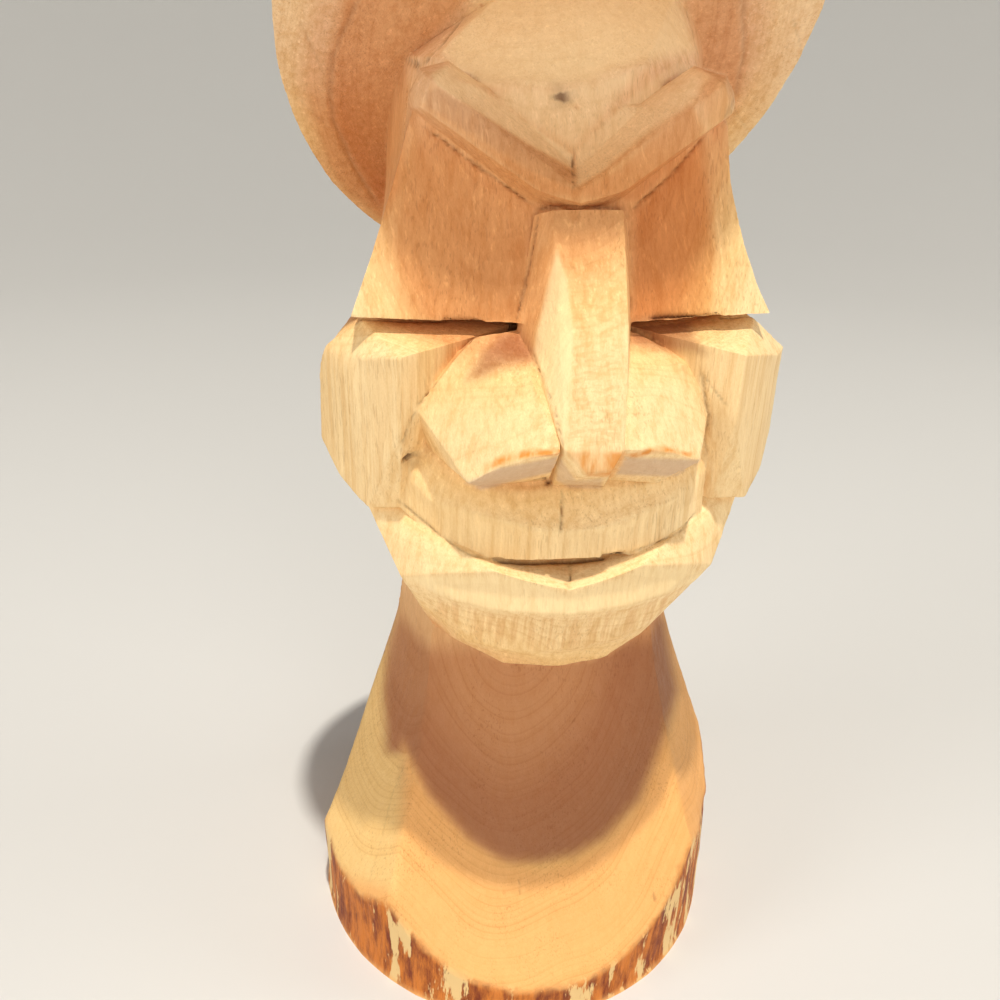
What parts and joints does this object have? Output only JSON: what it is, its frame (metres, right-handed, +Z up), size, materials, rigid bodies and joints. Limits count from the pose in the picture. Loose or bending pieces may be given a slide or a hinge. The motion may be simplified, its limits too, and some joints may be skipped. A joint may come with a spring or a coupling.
{
  "type": "carved wooden bust",
  "caption": "Bust whittled from one log: wide-brimmed hat, frowning eyeless face with flat knife cuts, flared foot with a band of bark.",
  "frame": {"origin": "middle of the flat underside, on the log's own axis", "axes": "+Z up along the log, -Y the way the face looks, +X to the right as seen from the front"},
  "size_m": [0.12, 0.12, 0.32],
  "materials": {
    "wood": "bare whittled wood, dry and unvarnished"
  },
  "bodies": {
    "root": {"carved_bust": "wood"}
  },
  "joints": []
}
